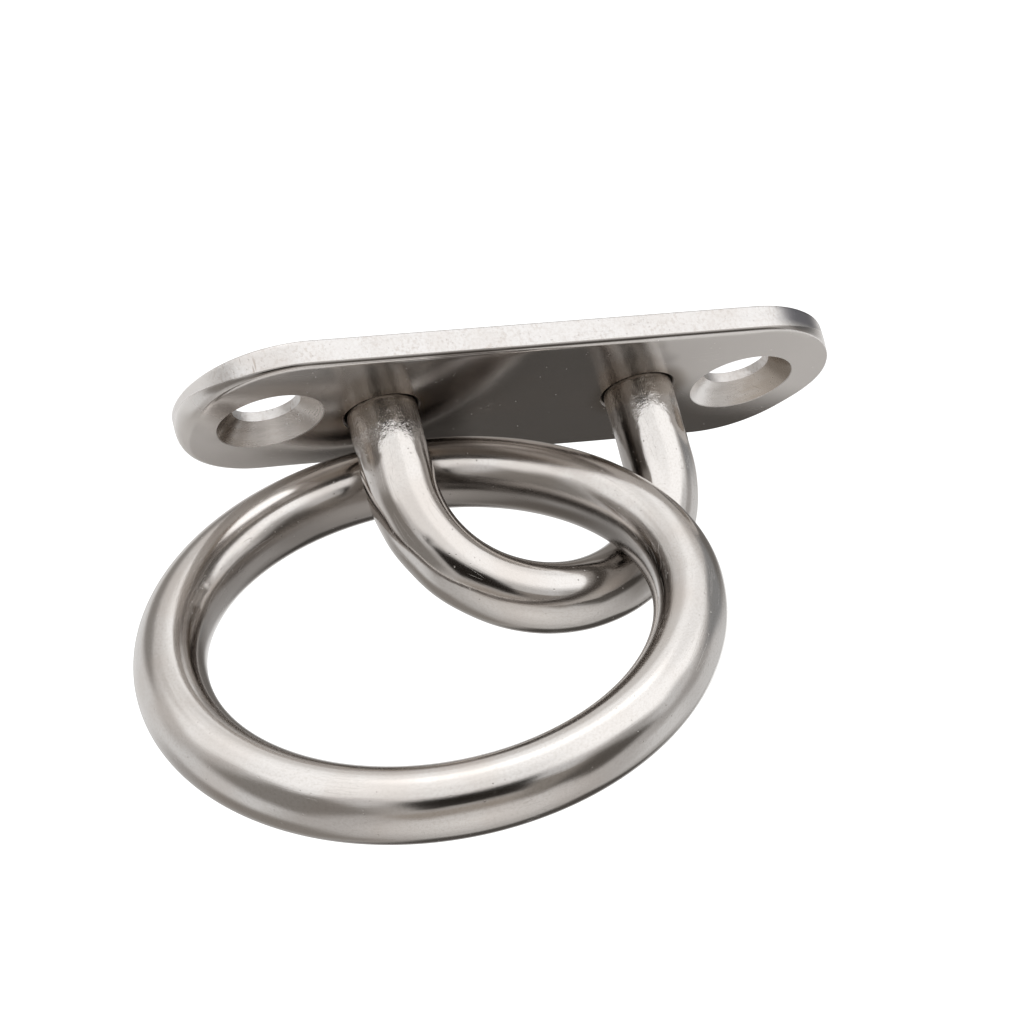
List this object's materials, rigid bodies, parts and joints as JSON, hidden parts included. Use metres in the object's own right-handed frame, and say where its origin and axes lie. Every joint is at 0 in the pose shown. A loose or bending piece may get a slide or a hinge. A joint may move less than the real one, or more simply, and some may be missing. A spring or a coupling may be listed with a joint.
{
  "type": "pad eye",
  "caption": "Oblong pad eye: a round-ended plate with countersunk screw holes, a bent rod bow welded through it, and a loose round ring captive in the bow.",
  "frame": {"origin": "centre of the plate's flat mounting face, midway between the screw holes", "axes": "+Z out of the mounting face, towards the structure it is screwed to; +X along the plate's length; the bow and the ring hang towards -Z"},
  "size_m": [0.0665, 0.0297, 0.0454],
  "materials": {
    "plate_steel": "polished stainless steel plate with fine scratches and a blanked edge",
    "bow_steel": "bent rod, polished after bending",
    "ring_steel": "polished stainless steel ring with fine lines along the wire",
    "weld_steel": "weld ground flush and polished over"
  },
  "bodies": {
    "pad": {"base_plate": "plate_steel", "eye_bow": "bow_steel", "left_leg_weld": "weld_steel", "right_leg_weld": "weld_steel"},
    "loose_ring": {"ring": "ring_steel", "ring_weld": "weld_steel"}
  },
  "joints": [
    {"name": "ring_swing", "type": "hinge", "parent": "pad", "child": "loose_ring", "pos_m": [0.00723, 0, -0.01857], "axis": [-0.8049, 0, -0.5934], "range_deg": [0, 96]}
  ]
}
